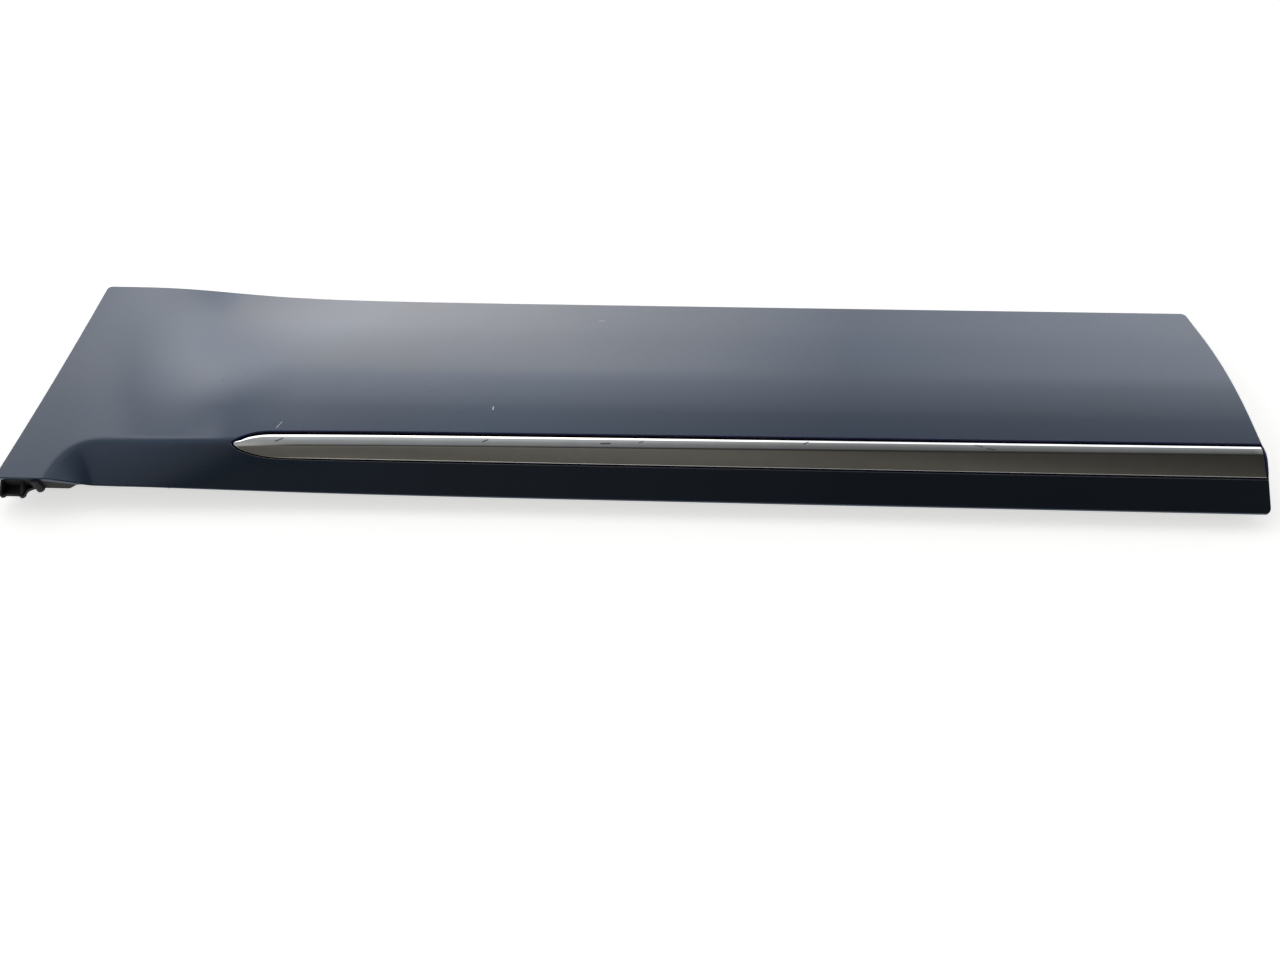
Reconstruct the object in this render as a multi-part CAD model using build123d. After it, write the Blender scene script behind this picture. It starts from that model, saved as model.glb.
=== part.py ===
# Lower side moulding for a left front door, lying face up.
# X runs along the car to the rear, Y runs up the door, Z points out of the door.
# Sizes are in millimetres. The model is drawn from the front lower corner of the painted
# panel, with z = 0 at the door's skin, and is moved to its own frame at the end.

import os

from build123d import *

# Outline of the painted panel
panel_length = 1152.0
panel_width = 255.0
front_lean = 13.3
corner_radius = 5.0

# Skin of the panel: the rear section, which holds for most of the length. Heights are
# above the upper corner of the panel's free edge, which stands edge_lip off the door.
edge_lip = 1.6
skin_thickness = 2.8
crown_height = 24.7
top_slope = 0.23
top_blend = 62.0
crease_line = 46.0
crease_blend = 9.0

# Front end, where the section flattens and lifts
front_crown_height = 12.9
front_dish_line = 75.0
front_dish_rise = 3.7
flare_length = 165.0
lower_edge_lift = 5.4
lower_edge_flare_length = 230.0
turned_face_start = 48.0
turned_corner_length = 44.0
turned_corner_height = 58.0

# Walls and ribs behind the skin
wall_thickness = 2.2
wall_inset = 3.0
lower_wall_inset = 0.6
rib_thickness = 1.6
rib_depth = 5.0
lower_rib_line = 118.0
upper_rib_margin = 29.0

# Bright strip: the plan of its visible face, which narrows to a lancet tip at the front
strip_tip = 213.5
strip_tip_line = 41.0
strip_low_line = 28.8
strip_rim_front = 51.6
strip_rim_rear = 57.1
strip_crease_front = 40.3
strip_crease_rear = 45.5
upper_nose_length = 33.0
upper_nose_power = 0.75
lower_nose_length = 47.0
lower_nose_power = 0.6
nose_points = 6

# Bright strip: its section
strip_upper_slope = 0.11
strip_sink = 0.2
strip_bevel_width = 2.6
strip_bevel_slope = 0.42
strip_wall = 2.0

# Channel that the strip lies in
strip_gap = 1.4
channel_depth = 4.6
channel_floor = 2.2
channel_wall = 2.4
channel_end_wall = 1.5
seat_gap = 0.3
strip_end_gap = 0.4

# Pins that hold the strip, with heads formed on the back
pin_radius = 2.0
pin_hole_clearance = 0.15
stake_head_radius = 3.6
stake_head_height = 1.6
stake_boss_width = 9.6
stake_boss_height = 3.2

# Retaining clips and the seats that hold them
upper_clip_count = 5
upper_clip_margin = 63.0
lower_clip_line = 90.0
clip_end_margin = 96.0
clip_head_width = 13.6
clip_head_height = 1.8
clip_head_chamfer = 2.5
clip_neck_width = 6.4
clip_collar_radius = 9.5
clip_collar_sides = 16
clip_collar_height = 1.4
clip_collar_taper = 50.0
clip_land_radius = 4.6
clip_land_length = 2.4
clip_blade_thickness = 2.2
clip_blade_waist = 3.0
clip_barb_reach = 4.4
clip_barb_rise = 2.4
clip_tip_reach = 1.4
clip_tip_length = 4.0
clip_clearance = 0.2
seat_plate = 2.0
seat_wall = 1.8
seat_slot_clearance = 0.4

# Locating pins, one near each end
locator_radius = 4.0
locator_reach = 5.0
locator_root_radius = 6.5
locator_line = 142.0
locator_end_margin = 140.0
locator_tip_chamfer = 1.2

# Corner bracket at the front lower corner
bracket_start = 4.2
bracket_slant = 2.4
bracket_end = 25.5
bracket_reach = 9.7
bracket_hip_place = 27.4
bracket_hip_reach = 3.6
bracket_slope_end = 32.5
bracket_slope_reach = 0.7
bracket_thickness = 3.0
bracket_foot_radius = 2.8
bracket_foot_inset = 0.8
bracket_foot_margin = 1.5
bracket_web = 2.0
bracket_boss_place = 37.6
bracket_boss_radius = 3.5
bracket_boss_reach = 4.6

# Behind the bracket the lower wall ends in a curve, and the edge is a thin lip from there
lip_start = 62.0
lip_curve_length = 18.0
lip_end = 700.0
lip_thinning = 0.6
lip_thinning_length = 400.0
lip_width = 3.2

# Grid of points that a smooth surface is laid through, and room round the model
grid_step = 32.0
grid_cross_step = 8.0
grid_margin = 24.0
grid_tolerance = 0.01
room = 60.0
fuse = 0.8


def ramp(distance, blend):
    """Zero, then a line of slope one, with a smooth start 2 * blend long."""
    if distance <= -blend:
        return 0.0
    if distance >= blend:
        return distance
    return (distance + blend) ** 2 / (4 * blend)


def flare(x, length):
    """One at the front end, fading to zero along the panel."""
    return 1 / (1 + (max(x, 0.0) / length) ** 4)


def crown(x, y):
    """Height of the panel without its turned lower face."""
    top_bend = panel_width - crown_height / top_slope
    rear = crown_height - top_slope * ramp(y - top_bend, top_blend)
    dish = (y - front_dish_line) / (panel_width - front_dish_line)
    front = front_crown_height + front_dish_rise * dish ** 2
    share = flare(x, flare_length)
    return rear * (1 - share) + front * share


def turned_distance(x, y):
    """How far a point is below the crease, which rounds down to the edge near the front."""
    below = crease_line - y
    along = (x - turned_face_start) * turned_corner_height / turned_corner_length
    if along >= turned_corner_height:
        return below
    across = turned_corner_height - along
    up = max(turned_corner_height - below, 0.0)
    return turned_corner_height - (across ** 2 + up ** 2) ** 0.5


def panel_height(x, y):
    """Height of the painted surface over the door's skin."""
    edge = lower_edge_lift * flare(x, lower_edge_flare_length)
    depth = crown(x, 0.0) - edge
    turned = ramp(turned_distance(x, y), crease_blend) / crease_line
    return edge_lip + crown(x, y) - depth * turned


def along_strip(x, front, rear):
    """A line of the strip that runs straight from its tip to the rear end."""
    return front + (rear - front) * (x - strip_tip) / (panel_length - strip_tip)


def rim_line(x):
    return along_strip(x, strip_rim_front, strip_rim_rear)


def strip_crease_line(x):
    return along_strip(x, strip_crease_front, strip_crease_rear)


def strip_crease_height(x):
    rim = panel_height(x, rim_line(x)) - strip_sink
    return rim - strip_upper_slope * (rim_line(x) - strip_crease_line(x))


def upper_facet(x, y):
    return strip_crease_height(x) + strip_upper_slope * (y - strip_crease_line(x))


def rim_bevel(x, y):
    start = rim_line(x) - strip_bevel_width
    return upper_facet(x, start) - strip_bevel_slope * (y - start)


def lower_facet(x, y):
    crease = strip_crease_line(x)
    edge = panel_height(x, strip_low_line) - strip_sink
    slope = (strip_crease_height(x) - edge) / (crease - strip_low_line)
    return strip_crease_height(x) + slope * (y - crease)


def steps(start, end, step):
    count = max(round((end - start) / step), 3)
    return [start + (end - start) * i / count for i in range(count + 1)]


def below(height, x_range, y_range):
    """Everything under a smooth surface z = height(x, y)."""
    grid = [
        [Vector(x, y, height(x, y)) for y in steps(*y_range, grid_cross_step)]
        for x in steps(*x_range, grid_step)
    ]
    surface = Face.make_surface_from_array_of_points(grid, tol=grid_tolerance)
    return Solid.extrude(surface, Vector(0, 0, -2 * room))


panel_block = below(
    panel_height,
    (-grid_margin, panel_length + grid_margin),
    (-grid_margin, panel_width + grid_margin),
)
strip_range = (
    (strip_tip - grid_margin, panel_length + grid_margin),
    (strip_low_line - grid_margin, strip_rim_rear + grid_margin),
)
strip_block = below(upper_facet, *strip_range) & below(lower_facet, *strip_range)
strip_block = strip_block & below(rim_bevel, *strip_range)


def below_panel(drop):
    return Pos(0, 0, -drop) * panel_block


def below_strip(drop):
    return Pos(0, 0, -drop) * strip_block


def union(solids):
    return solids[0].fuse(*solids[1:])


def prism(face, low=-room, high=room):
    return extrude(Pos(0, 0, low) * face, amount=high - low, dir=(0, 0, 1))


def panel_outline(front, low, rear, top, radius):
    """Plan of the panel, drawn in from its four sides."""
    lean = front_lean / panel_width
    y_low = low
    y_top = panel_width - top
    corners = [
        (front + lean * y_low, y_low),
        (panel_length - rear, y_low),
        (panel_length - rear, y_top),
        (front + lean * y_top, y_top),
    ]
    face = make_face(Polyline(*corners, close=True))
    if radius > 0:
        face = fillet(face.vertices(), radius)
    return face


def nose(length, height, power):
    """Points of half the lancet tip, from its point to where it meets the straight edge."""
    for i in range(nose_points + 1):
        share = (i / nose_points) ** 2
        yield length * share, height * (1 - (1 - share) ** 2) ** power


def strip_outline(grow, rear_end):
    """Plan of the strip with its lancet tip at the front, drawn larger by grow."""
    tip = strip_tip - grow
    upper_length = upper_nose_length + grow
    lower_length = lower_nose_length + grow
    upper_height = rim_line(strip_tip + upper_nose_length) + grow - strip_tip_line
    lower_height = strip_tip_line - strip_low_line + grow
    upper = [
        (tip + x, strip_tip_line + y) for x, y in nose(upper_length, upper_height, upper_nose_power)
    ]
    lower = [
        (tip + x, strip_tip_line - y) for x, y in nose(lower_length, lower_height, lower_nose_power)
    ]
    rim_end = (rear_end, rim_line(rear_end) + grow)
    low_end = (rear_end, strip_low_line - grow)
    edges = [
        Spline(upper),
        Line(upper[-1], rim_end),
        Line(rim_end, low_end),
        Line(low_end, lower[-1]),
        Spline(lower),
    ]
    return make_face(edges)


def stake_face(x, y):
    """Height of the flat face that a pin's formed head lies against."""
    return panel_height(x, y) - channel_depth - channel_floor - stake_boss_height


def clip_step():
    return (panel_length - 2 * clip_end_margin) / (upper_clip_count - 1)


def clip_columns():
    """Upper clips, and the lower clips midway between them."""
    upper = [clip_end_margin + i * clip_step() for i in range(upper_clip_count)]
    lower = [x + clip_step() / 2 for x in upper[:-1]]
    return upper, lower


def rib_columns():
    """Cross ribs between an upper clip and the next lower clip."""
    return [x + clip_step() / 4 for x in clip_columns()[0]]


def clip_places():
    upper, lower = clip_columns()
    upper_line = panel_width - upper_clip_margin
    return [(x, upper_line) for x in upper] + [(x, lower_clip_line) for x in lower]


def pin_places():
    """The strip's pins stand in line with the clips, behind the tip of the strip."""
    upper, lower = clip_columns()
    nose_end = strip_tip + lower_nose_length
    return [(x, strip_crease_line(x)) for x in sorted(upper + lower) if x > nose_end]


def locator_places():
    for x in (locator_end_margin, panel_length - locator_end_margin):
        yield x, locator_line


def cylinder(x, y, radius, low, high):
    return Pos(x, y, (low + high) / 2) * Cylinder(radius, high - low)


def block(x_range, y_range, z_range):
    size = [b - a for a, b in (x_range, y_range, z_range)]
    middle = [(a + b) / 2 for a, b in (x_range, y_range, z_range)]
    return Pos(*middle) * Box(*size)


seat_low = clip_collar_height
seat_high = seat_low + seat_plate
seat_half = clip_head_width / 2 + clip_clearance + seat_wall


def perimeter_wall():
    outer = panel_outline(wall_inset, lower_wall_inset, wall_inset, wall_inset, corner_radius)
    inner = panel_outline(
        wall_inset + wall_thickness,
        lower_wall_inset + wall_thickness,
        wall_inset + wall_thickness,
        wall_inset + wall_thickness,
        corner_radius - wall_thickness,
    )
    return prism(outer - inner, 0, room)


def rib_grid():
    """Cross ribs between the clip seats, and long ribs from end to end."""
    low = lower_wall_inset + wall_thickness / 2
    high = panel_width - wall_inset - wall_thickness / 2
    first = wall_inset + front_lean
    last = panel_length - wall_inset - wall_thickness / 2
    half = rib_thickness / 2
    ribs = [block((x - half, x + half), (low, high), (0, room)) for x in rib_columns()]
    for y in (lower_rib_line, panel_width - upper_rib_margin):
        ribs.append(block((first, last), (y - half, y + half), (0, room)))
    return union(ribs)


def clip_seat_block(x, y):
    return block((x - seat_half, x + seat_half), (y - seat_half, y + seat_half), (seat_low, room))


def clip_seat_space(x, y):
    """Room for a clip's head, open to the rear so that the clip slides in."""
    half = clip_head_width / 2 + clip_clearance
    return block((x - half, x + seat_half + fuse), (y - half, y + half), (seat_high, room))


def clip_seat_slot(x, y):
    half = clip_neck_width / 2 + seat_slot_clearance
    return block((x - half, x + seat_half + fuse), (y - half, y + half), (0, seat_high + fuse))


def locating_pin(x, y):
    pin = cylinder(x, y, locator_radius, -locator_reach, fuse)
    tip = pin.edges().group_by(Axis.Z)[0]
    return chamfer(tip, locator_tip_chamfer)


def corner_bracket():
    """Foot plate with two round feet, on two webs, at the front lower corner."""
    back = lower_wall_inset + wall_thickness
    points = [
        (bracket_start - bracket_slant, back),
        (bracket_start - bracket_slant, 0),
        (bracket_start, -bracket_reach),
        (bracket_end, -bracket_reach),
        (bracket_hip_place, -bracket_hip_reach),
        (bracket_slope_end, -bracket_slope_reach),
        (bracket_slope_end, back),
    ]
    pieces = [prism(make_face(Polyline(*points, close=True)), 0, bracket_thickness)]
    y = bracket_foot_inset - bracket_reach
    for x in (bracket_start + bracket_foot_margin, bracket_end - bracket_foot_margin):
        pieces.append(cylinder(x, y, bracket_foot_radius, 0, bracket_thickness))
    for x in (bracket_start, bracket_end - bracket_web):
        top = panel_height(x, 0) - skin_thickness
        low = bracket_thickness + bracket_web
        web = [(back, 0), (-bracket_reach, 0), (-bracket_reach, low), (back, top)]
        side = make_face(Polyline(*[(x, y, z) for y, z in web], close=True))
        pieces.append(extrude(side, amount=bracket_web, dir=(1, 0, 0)))
    return pieces


def bracket_boss():
    """Round boss beside the bracket. It stands past the edge and ends inside the skin."""
    y = bracket_boss_radius - bracket_boss_reach
    top = panel_height(bracket_boss_place, 0) - skin_thickness + fuse
    return cylinder(bracket_boss_place, y, bracket_boss_radius, 0, top)


def lip_height(x):
    """Underside of the lower edge: on the door, then up a curve to just under the skin."""
    rise = min((x - lip_start) / lip_curve_length, 1)
    share = rise ** 2 * (3 - 2 * rise)
    lift = panel_height(x, 0) - edge_lip + lip_thinning * flare(x, lip_thinning_length)
    return share * lift


def space_under_lip():
    places = steps(lip_start, lip_start + lip_curve_length, lip_curve_length / 6)
    x = places[-1]
    while x < lip_end:
        x = min(x * 1.25, lip_end)
        places.append(x)
    curve = Spline([(x, 0, lip_height(x)) for x in places])
    corners = [(lip_end, 0, lip_height(lip_end)), (lip_end, 0, -fuse), (lip_start, 0, -fuse)]
    side = make_face([curve, Polyline(*corners, (lip_start, 0, 0))])
    return Pos(0, -fuse, 0) * extrude(side, amount=lip_width + fuse, dir=(0, 1, 0))


def moulding_panel():
    """Painted panel, moulded in one piece with everything on its back."""
    outer = prism(panel_outline(0, 0, 0, 0, corner_radius), 0, room) & panel_block
    inside = below_panel(skin_thickness)

    ribs = rib_grid() - below_panel(skin_thickness + rib_depth)
    channel = prism(strip_outline(strip_gap + channel_wall, panel_length), 0, room)
    channel = channel - below_panel(channel_depth + channel_floor)
    back = [perimeter_wall(), ribs, channel]
    for x, y in pin_places():
        half = stake_boss_width / 2
        back.append(block((x - half, x + half), (y - half, y + half), (stake_face(x, y), room)))
    for x, y in clip_places():
        back.append(clip_seat_block(x, y))
    for x, y in locator_places():
        back.append(cylinder(x, y, locator_root_radius, 0, room))
    body = outer - (inside - union(back))

    outside = [*corner_bracket(), bracket_boss()]
    for x, y in locator_places():
        outside.append(locating_pin(x, y))
    body = body.fuse(*outside)

    spaces = union([clip_seat_space(x, y) for x, y in clip_places()]) & inside
    pocket = prism(strip_outline(strip_gap, panel_length - channel_end_wall), 0, room)
    pocket = pocket - below_panel(channel_depth)
    hole = pin_radius + pin_hole_clearance
    holes = [cylinder(x, y, hole, 0, room) for x, y in pin_places()]
    slots = [clip_seat_slot(x, y) for x, y in clip_places()]
    return body.cut(spaces, pocket, space_under_lip(), *holes, *slots)


def chrome_strip():
    """Two-facet trim strip with a hollow back and the pins that hold it."""
    floor = below_panel(channel_depth - seat_gap)
    rear_end = panel_length - channel_end_wall - strip_end_gap
    hollow = prism(strip_outline(-strip_wall, rear_end - strip_wall), 0, room)
    hollow = hollow & below_strip(strip_wall)
    shell = (prism(strip_outline(0, rear_end), 0, room) & strip_block) - floor - hollow
    pins = []
    for x, y in pin_places():
        seat = stake_face(x, y)
        pins.append(cylinder(x, y, pin_radius, seat - stake_head_height, room))
        pins.append(cylinder(x, y, stake_head_radius, seat - stake_head_height, seat))
    return shell.fuse(union(pins) & below_strip(strip_wall - fuse))


def clip_blade():
    """One flat blade of the stem: waist, barb and tip, drawn in the XZ plane."""
    barb_low = -clip_land_length - clip_barb_rise
    half = [
        (clip_blade_waist, -clip_land_length),
        (clip_barb_reach, barb_low),
        (clip_tip_reach, barb_low - clip_tip_length),
    ]
    mirrored = [(-x, z) for x, z in reversed(half)]
    face = make_face(Polyline(*[(x, 0, z) for x, z in half + mirrored], close=True))
    return extrude(face, amount=clip_blade_thickness / 2, dir=(0, 1, 0), both=True)


def retaining_clip(x, y):
    """Push-in clip: head in its seat, neck in the slot, collar, round land and crossed blades."""
    half = clip_head_width / 2
    head = block((-half, half), (-half, half), (seat_high, seat_high + clip_head_height))
    head = chamfer(head.edges().filter_by(Axis.Z), clip_head_chamfer)
    half = clip_neck_width / 2
    neck = block((-half, half), (-half, half), (seat_low, seat_high))
    collar = extrude(
        RegularPolygon(clip_collar_radius, clip_collar_sides),
        amount=clip_collar_height,
        taper=clip_collar_taper,
    )
    land = cylinder(0, 0, clip_land_radius, -clip_land_length, 0)
    blade = clip_blade()
    stem = [blade, Rot(0, 0, 90) * blade]
    return Pos(x, y, 0) * head.fuse(neck, collar, land, *stem)


def clip_tip_depth():
    return clip_land_length + clip_barb_rise + clip_tip_length


foot_reach = bracket_reach - bracket_foot_inset + bracket_foot_radius
home = Pos(-panel_length / 2, -(panel_width - foot_reach) / 2, clip_tip_depth())

nodes = {"moulding_panel": moulding_panel(), "chrome_strip": chrome_strip()}
for number, (x, y) in enumerate(clip_places(), start=1):
    nodes[f"retaining_clip_{number:02d}"] = retaining_clip(x, y)

os.makedirs("parts", exist_ok=True)
for name, solid in nodes.items():
    export_step(home * solid, f"parts/{name}.step")
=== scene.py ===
import math

import bmesh
import bpy
import numpy as np
from mathutils import Matrix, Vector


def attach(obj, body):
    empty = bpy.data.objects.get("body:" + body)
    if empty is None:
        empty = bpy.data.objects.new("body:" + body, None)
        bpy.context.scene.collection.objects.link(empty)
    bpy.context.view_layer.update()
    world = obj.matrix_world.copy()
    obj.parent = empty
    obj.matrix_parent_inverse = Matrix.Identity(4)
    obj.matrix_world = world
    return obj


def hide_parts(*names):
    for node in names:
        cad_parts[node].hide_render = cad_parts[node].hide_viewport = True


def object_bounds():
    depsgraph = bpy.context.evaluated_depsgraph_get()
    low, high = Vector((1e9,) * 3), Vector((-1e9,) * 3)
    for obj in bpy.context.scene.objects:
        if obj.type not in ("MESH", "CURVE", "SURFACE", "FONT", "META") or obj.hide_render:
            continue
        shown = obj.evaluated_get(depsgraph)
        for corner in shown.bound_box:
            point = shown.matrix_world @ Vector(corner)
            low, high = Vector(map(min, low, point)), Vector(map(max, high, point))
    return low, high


# Looks of the lower side moulding. Sizes here are in millimetres in the panel's own
# coordinates: x from the front end, y up the door from the painted lower edge, z out of
# the door. place_home() turns them into metres in the frame's coordinates.

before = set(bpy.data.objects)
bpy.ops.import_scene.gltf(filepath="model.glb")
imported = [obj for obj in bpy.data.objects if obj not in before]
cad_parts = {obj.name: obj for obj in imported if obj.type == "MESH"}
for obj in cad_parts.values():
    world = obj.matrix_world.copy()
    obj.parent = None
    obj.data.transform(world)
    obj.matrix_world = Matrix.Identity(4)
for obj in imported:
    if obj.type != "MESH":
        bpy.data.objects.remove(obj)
cad_low, cad_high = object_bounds()

# Panel and strip, with the values that shape the solids
PANEL_LENGTH = 1152.0
PANEL_WIDTH = 255.0
FRONT_LEAN = 13.3
CORNER_RADIUS = 5.0
EDGE_LIP = 1.6
CROWN_HEIGHT = 24.7
TOP_SLOPE = 0.23
TOP_BLEND = 62.0
CREASE_LINE = 46.0
SOLID_CREASE_BLEND = 9.0
FRONT_CROWN_HEIGHT = 12.9
FRONT_DISH_LINE = 75.0
FRONT_DISH_RISE = 3.7
FLARE_LENGTH = 165.0
LOWER_EDGE_LIFT = 5.4
LOWER_EDGE_FLARE_LENGTH = 230.0
TURNED_FACE_START = 48.0
TURNED_CORNER_LENGTH = 44.0
TURNED_CORNER_HEIGHT = 58.0
STRIP_TIP = 213.5
STRIP_TIP_LINE = 41.0
STRIP_LOW_LINE = 28.8
STRIP_RIM_FRONT = 51.6
STRIP_RIM_REAR = 57.1
STRIP_CREASE_FRONT = 40.3
STRIP_CREASE_REAR = 45.5
UPPER_NOSE_LENGTH = 33.0
UPPER_NOSE_POWER = 0.75
LOWER_NOSE_LENGTH = 47.0
LOWER_NOSE_POWER = 0.6
STRIP_UPPER_SLOPE = 0.11
STRIP_SINK = 0.2
STRIP_BEVEL_WIDTH = 2.6
SOLID_BEVEL_SLOPE = 0.42
STRIP_GAP = 1.4
CHANNEL_END_WALL = 1.5
STRIP_END_GAP = 0.4
LIP_REACH = 3.2
LIP_THINNING = 0.6
LIP_THINNING_LENGTH = 400.0
FOOT_REACH = 11.7
CLIP_TIP_DEPTH = 8.8

# Detail that only the looks have. The crease is crisper than the solid's and its front
# corner fuller, all within about two millimetres of the solid.
CREASE_BLEND = 5.0
CORNER_POWER = 3.0
CREASE_FALL = 4.5
CREASE_FALL_START = 95.0
CREASE_FALL_END = 205.0
CREASE_RETURN_END = 300.0
FACE_BULGE = 0.25
FACE_BULGE_LENGTH = 250.0
PANEL_EDGE_RADIUS = 0.8
RECESS_EDGE_RADIUS = 0.9
RECESS_GAP = 2.1
LOWER_GAP_LESS = 0.6
STRIP_EDGE_RADIUS = 0.3
LOOKS_RIM_FRONT = 50.4
LOOKS_CREASE_FRONT = 37.8
LOOKS_CREASE_REAR = 48.2
STRIP_CREASE_BLEND = 0.8
UPPER_FACET_BULGE = 0.05
LOWER_FACET_BULGE = 0.03
SHOULDER_SLOPE = 0.2
SHOULDER_TURN = 0.8
SHOULDER_SHARE = 0.45
TIP_FADE = 8.0
LEAN_FADE = 150.0

# How the visible skins are joined with the solids cut off below them
SKIN_CUT = 1.0
STRIP_CUT = 0.6
SKIRT_OVERLAP = 0.5
STRIP_SKIRT_OVERLAP = 1.5
SKIRT_SET_BACK = 0.02
EDGE_WALL_REACH = 0.15
UPRIGHT_SLOPE = 0.3
WELD_DISTANCE = 2e-6
THIN_FACE = 1e-7
THIN_RUN = 1e-6
SHARP_ANGLE = math.radians(32)

# How finely the skins are divided
EDGE_STEPS = 6
SUPPORT_RING = 0.3
NOSE_COUNT = 24
FRONT_COUNT = 80
PANEL_LINE_COUNT = 118
STRIP_LINE_COUNT = 110
UPPER_ROWS, UPPER_GATHER = 62, 1.5
LOWER_ROWS, LOWER_GATHER = 18, 0.0
REAR_BRIDGE_COUNT = 6
CREASE_DISTANCES = (2.0, 1.0, 0.6, 0.35, 0.15)
LOWER_FACET_SHARES = (0, 0.03, 0.15, 0.35, 0.6)
UPPER_FACET_SHARES = (0.545, 0.72, 0.895)
SHOULDER_SHARES = (0, 0.08, 0.16, 0.24, 0.32, 0.4, 0.55, 0.75, 0.9, 1)
LOWER_CREASE_ZONE = 0.35
UPPER_CREASE_ZONE = 0.25

# Numbers of the materials on the panel and on the strip. The recess's upper edge and wall and the strip's
# back carry a dark navy painted shade, and the recess's lower edge a light painted highlight.
PAINT, PLASTIC, GAP_SHADE, EDGE_HIGHLIGHT = 0, 1, 2, 3
PLATING, STRIP_BACK = 0, 1


def ramp(distance, blend):
    """Zero, then a line of slope one, with a smooth start 2 * blend long."""
    start = (np.clip(distance, -blend, blend) + blend) ** 2 / (4 * blend)
    return np.where(distance >= blend, distance, start)


def flare(x, length):
    """1 at the front end, fading to 0 along the panel."""
    return 1 / (1 + (np.maximum(x, 0.0) / length) ** 4)


def crown(x, y):
    """The painted surface above the crease, carried on below it."""
    top_bend = PANEL_WIDTH - CROWN_HEIGHT / TOP_SLOPE
    rear = CROWN_HEIGHT - TOP_SLOPE * ramp(y - top_bend, TOP_BLEND)
    dish = (y - FRONT_DISH_LINE) / (PANEL_WIDTH - FRONT_DISH_LINE)
    front = FRONT_CROWN_HEIGHT + FRONT_DISH_RISE * dish ** 2
    share = flare(x, FLARE_LENGTH)
    return rear * (1 - share) + front * share


def turned_distance(x, y, crease, power):
    """How far a point is below the crease, which rounds down to the edge near the front."""
    below = crease - y
    along = (x - TURNED_FACE_START) * TURNED_CORNER_HEIGHT / TURNED_CORNER_LENGTH
    across = np.maximum(TURNED_CORNER_HEIGHT - along, 0.0)
    up = np.maximum(TURNED_CORNER_HEIGHT - below, 0.0)
    rounded = TURNED_CORNER_HEIGHT - (across ** power + up ** power) ** (1 / power)
    return np.where(along >= TURNED_CORNER_HEIGHT, below, rounded)


def turned_height(x, y, crease, power, blend, bulge):
    """The crown, turned down below the crease to the panel's lower edge."""
    edge = LOWER_EDGE_LIFT * flare(x, LOWER_EDGE_FLARE_LENGTH)
    depth = crown(x, 0.0) - edge
    turned = ramp(turned_distance(x, y, crease, power), blend) / crease
    return EDGE_LIP + crown(x, y) - depth * turned * (1 - bulge * (1 - turned))


def solid_height(x, y):
    """Height of the solid's painted surface over the door's skin."""
    return turned_height(x, y, CREASE_LINE, 2, SOLID_CREASE_BLEND, 0.0)


def smooth_step(value, start, end):
    share = np.clip((value - start) / (end - start), 0, 1)
    return share ** 2 * (3 - 2 * share)


def panel_height(x, y):
    """Height of the visible painted surface, whose crease dips to the strip's tip."""
    down = smooth_step(x, CREASE_FALL_START, CREASE_FALL_END)
    up = smooth_step(x, CREASE_FALL_END, CREASE_RETURN_END)
    crease = CREASE_LINE - CREASE_FALL * (down - up)
    bulge = FACE_BULGE * flare(x, FACE_BULGE_LENGTH)
    return turned_height(x, y, crease, CORNER_POWER, CREASE_BLEND, bulge)


def along_strip(x, front, rear):
    """A line that runs straight from its place at the strip's tip to its place at the rear."""
    return front + (rear - front) * (x - STRIP_TIP) / (PANEL_LENGTH - STRIP_TIP)


def rim_line(x):
    return along_strip(x, STRIP_RIM_FRONT, STRIP_RIM_REAR)


def looks_rim(x):
    return along_strip(x, LOOKS_RIM_FRONT, STRIP_RIM_REAR)


def looks_crease(x):
    return along_strip(x, LOOKS_CREASE_FRONT, LOOKS_CREASE_REAR)


def strip_facets(x, y, crease):
    """Height of the strip's upper facet carried on over its crease, and the lower facet's extra fall."""
    rim = solid_height(x, rim_line(x)) - STRIP_SINK
    crease_height = rim - STRIP_UPPER_SLOPE * (rim_line(x) - crease)
    edge = solid_height(x, STRIP_LOW_LINE) - STRIP_SINK
    fall = (crease_height - edge) / (crease - STRIP_LOW_LINE) - STRIP_UPPER_SLOPE
    return crease_height + STRIP_UPPER_SLOPE * (y - crease), fall


def strip_solid_height(x, y):
    """Top of the strip's solid, with its three flat faces."""
    crease = along_strip(x, STRIP_CREASE_FRONT, STRIP_CREASE_REAR)
    upper, fall = strip_facets(x, y, crease)
    bevel = (STRIP_UPPER_SLOPE + SOLID_BEVEL_SLOPE) * (y - rim_line(x) + STRIP_BEVEL_WIDTH)
    return upper - fall * np.maximum(crease - y, 0) - np.maximum(bevel, 0)


def strip_height(x, y, past_shoulder):
    """Top of the strip with a rounded crease and a rounded shoulder along its upper rim."""
    crease = looks_crease(x)
    upper, fall = strip_facets(x, y, crease)
    turn = STRIP_UPPER_SLOPE + SHOULDER_SLOPE
    early = turn * np.clip(past_shoulder, 0, SHOULDER_TURN) ** 2 / (2 * SHOULDER_TURN)
    late = turn * np.maximum(past_shoulder - SHOULDER_TURN, 0)
    above = np.clip((y - crease) / (looks_rim(x) - crease), 0, 1)
    below = np.clip((crease - y) / (crease - STRIP_LOW_LINE), 0, 1)
    bulge = UPPER_FACET_BULGE * (looks_rim(x) - crease) * above * (1 - above)
    bulge = bulge + LOWER_FACET_BULGE * (crease - STRIP_LOW_LINE) * below * (1 - below)
    return upper + bulge - fall * ramp(crease - y, STRIP_CREASE_BLEND) - early - late


HOME_SHIFT = (-PANEL_LENGTH / 2, -(PANEL_WIDTH - FOOT_REACH) / 2, CLIP_TIP_DEPTH)


def place_home(points):
    """Millimetres in the panel's coordinates to metres in the frame's."""
    return (np.asarray(points, float) + HOME_SHIFT) / 1000


def place_back(points):
    """Metres in the frame's coordinates to millimetres in the panel's."""
    return np.asarray(points, float) * 1000 - HOME_SHIFT


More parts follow.
